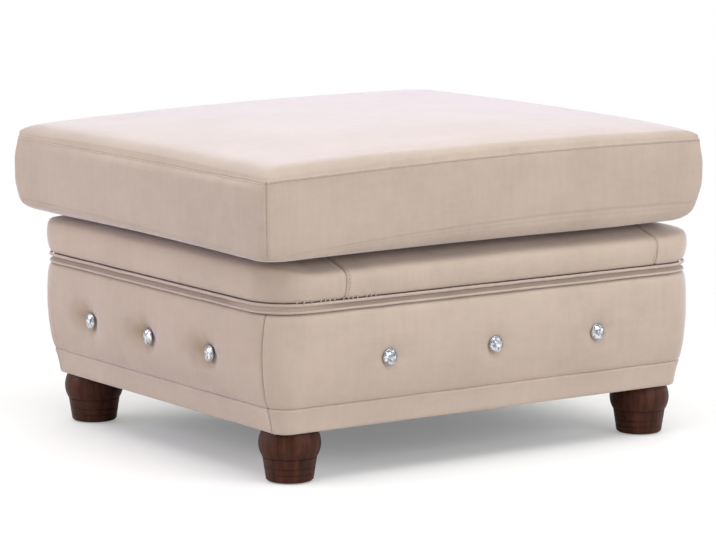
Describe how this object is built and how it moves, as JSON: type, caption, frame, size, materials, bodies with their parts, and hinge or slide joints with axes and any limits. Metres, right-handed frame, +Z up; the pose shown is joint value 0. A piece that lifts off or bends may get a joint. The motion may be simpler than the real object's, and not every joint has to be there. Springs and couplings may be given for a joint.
{
  "type": "footstool",
  "caption": "Upholstered footstool: loose boxed cushion on a buttoned body with a double welt, plinth band and turned wooden feet.",
  "frame": {"origin": "on the floor, at the bottom centre of the bounding box; the middle of the base lies 7.5 mm towards +X and 7.0 mm towards -Y of it, and the middle of the loose cushion 4.5 mm towards -X, as the cushion lies in the picture", "axes": "+X runs along the long side, to the right for someone who faces the long front; the front faces -Y; +Z is up"},
  "size_m": [0.741, 0.668, 0.4474],
  "materials": {
    "velvet_cushion": "plush velvet",
    "velvet_body": "plush velvet",
    "velvet_welt": "plush velvet over cord",
    "velvet_band": "plush velvet",
    "zip_tape": "woven tape",
    "fibre_wadding": "soft fibre",
    "foam": "open cell foam",
    "platform_cloth": "plain woven cloth",
    "felt": "needled felt",
    "zinc_steel": "zinc plated",
    "button_chrome": "polished",
    "button_glass": "cut and polished",
    "twine": "waxed twine",
    "plywood": "sawn",
    "pine": "planed",
    "dust_cloth": "spunbonded cloth",
    "walnut_stain": "dark stain under satin lacquer",
    "glide_plastic": "moulded"
  },
  "bodies": {
    "base": {"deck_cloth": "platform_cloth", "deck_foam": "foam", "spring_felt": "felt", "zigzag_springs": "zinc_steel", "spring_clips": "zinc_steel", "clip_nails": "zinc_steel", "front_border_cover": "velvet_body", "back_border_cover": "velvet_body", "left_border_cover": "velvet_body", "right_border_cover": "velvet_body", "border_foam": "foam", "upper_welt": "velvet_welt", "welt_strip": "velvet_welt", "lower_welt": "velvet_welt", "waist_battens": "pine", "front_cover": "velvet_body", "back_cover": "velvet_body", "left_cover": "velvet_body", "right_cover": "velvet_body", "front_pad": "foam", "back_pad": "foam", "left_pad": "foam", "right_pad": "foam", "button_cups": "button_chrome", "button_stones": "button_glass", "button_twines": "twine", "front_band_cover": "velvet_band", "back_band_cover": "velvet_band", "left_band_cover": "velvet_band", "right_band_cover": "velvet_band", "front_band_board": "plywood", "back_band_board": "plywood", "left_band_board": "plywood", "right_band_board": "plywood", "front_panel": "plywood", "back_panel": "plywood", "left_panel": "plywood", "right_panel": "plywood", "front_spring_rail": "pine", "back_spring_rail": "pine", "left_top_rail": "pine", "right_top_rail": "pine", "bottom_rails": "pine", "corner_posts": "pine", "frame_screws": "zinc_steel", "foot_plates": "plywood", "dust_cover": "dust_cloth", "foot_front_left": "walnut_stain", "foot_front_right": "walnut_stain", "foot_back_left": "walnut_stain", "foot_back_right": "walnut_stain", "hanger_bolts": "zinc_steel", "t_nuts": "zinc_steel", "glides": "glide_plastic"},
    "cushion": {"cushion_cover": "velvet_cushion", "cushion_zip": "zip_tape", "cushion_wrap": "fibre_wadding", "cushion_foam": "foam"}
  },
  "joints": [
    {"name": "cushion_lift", "type": "slide", "parent": "base", "child": "cushion", "axis": [0, 0, 1], "range_m": [0, 0.2]}
  ]
}
